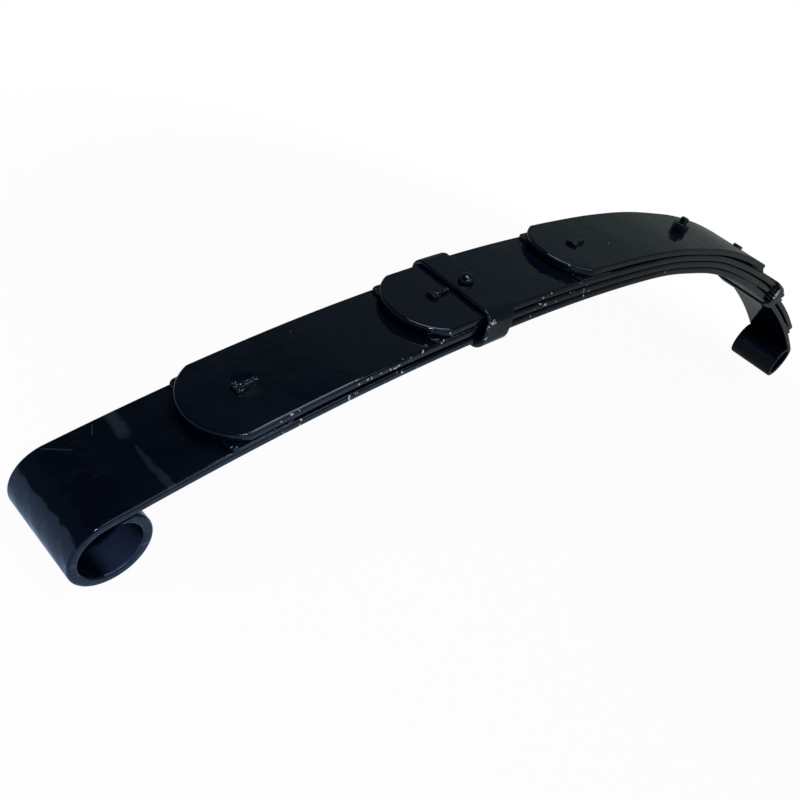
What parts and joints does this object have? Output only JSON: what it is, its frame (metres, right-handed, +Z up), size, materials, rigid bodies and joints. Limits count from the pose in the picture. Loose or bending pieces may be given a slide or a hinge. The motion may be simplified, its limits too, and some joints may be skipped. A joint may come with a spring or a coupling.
{
  "type": "leaf spring",
  "caption": "Arched steel leaf spring with graduated leaves, rolled eyes at both ends, tip pads, rebound clips and a centre bolt, that carries an axle between a hanger and a shackle.",
  "frame": {"origin": "midway between the two eyes, under the centre bolt, on the surface that the eyes stand on", "axes": "+X along the spring from the hanger eye to the shackle eye, +Y across the leaves, +Z up through the centre bolt"},
  "size_m": [1.1262, 0.0742, 0.2162],
  "materials": {
    "leaf_paint": "gloss",
    "clip_paint": "gloss",
    "pad_plastic": "painted over",
    "bolt_steel": "gloss"
  },
  "bodies": {
    "centre": {"main_leaf_seat": "leaf_paint", "second_leaf_seat": "leaf_paint", "third_leaf_seat": "leaf_paint", "fourth_leaf_seat": "leaf_paint", "centre_bolt": "bolt_steel", "centre_nut": "bolt_steel"},
    "hanger_half": {"main_leaf_hanger_arm": "leaf_paint", "hanger_eye": "leaf_paint", "second_leaf_hanger_arm": "leaf_paint", "third_leaf_hanger_arm": "leaf_paint", "fourth_leaf_hanger_arm": "leaf_paint", "second_leaf_hanger_end_pad": "pad_plastic", "third_leaf_hanger_end_pad": "pad_plastic", "fourth_leaf_hanger_end_pad": "pad_plastic", "hanger_end_clip": "clip_paint", "hanger_end_clip_rivet": "clip_paint"},
    "shackle_half": {"main_leaf_shackle_arm": "leaf_paint", "shackle_eye": "leaf_paint", "second_leaf_shackle_arm": "leaf_paint", "third_leaf_shackle_arm": "leaf_paint", "fourth_leaf_shackle_arm": "leaf_paint", "second_leaf_shackle_end_pad": "pad_plastic", "third_leaf_shackle_end_pad": "pad_plastic", "fourth_leaf_shackle_end_pad": "pad_plastic", "shackle_end_clip": "clip_paint", "shackle_end_clip_rivet": "clip_paint"}
  },
  "joints": [
    {"name": "hanger_half_flex", "type": "hinge", "parent": "centre", "child": "hanger_half", "pos_m": [-0.08312, 0, 0.20035], "axis": [0, 1, 0], "range_deg": [0, 12], "stiffness_Nm_per_rad": 2400},
    {"name": "shackle_half_flex", "type": "hinge", "parent": "centre", "child": "shackle_half", "pos_m": [0.08312, 0, 0.20035], "axis": [0, -1, 0], "range_deg": [0, 12], "stiffness_Nm_per_rad": 2400}
  ],
  "couplings": [
    {"joint": "shackle_half_flex", "follows": "hanger_half_flex", "ratio": 1}
  ]
}
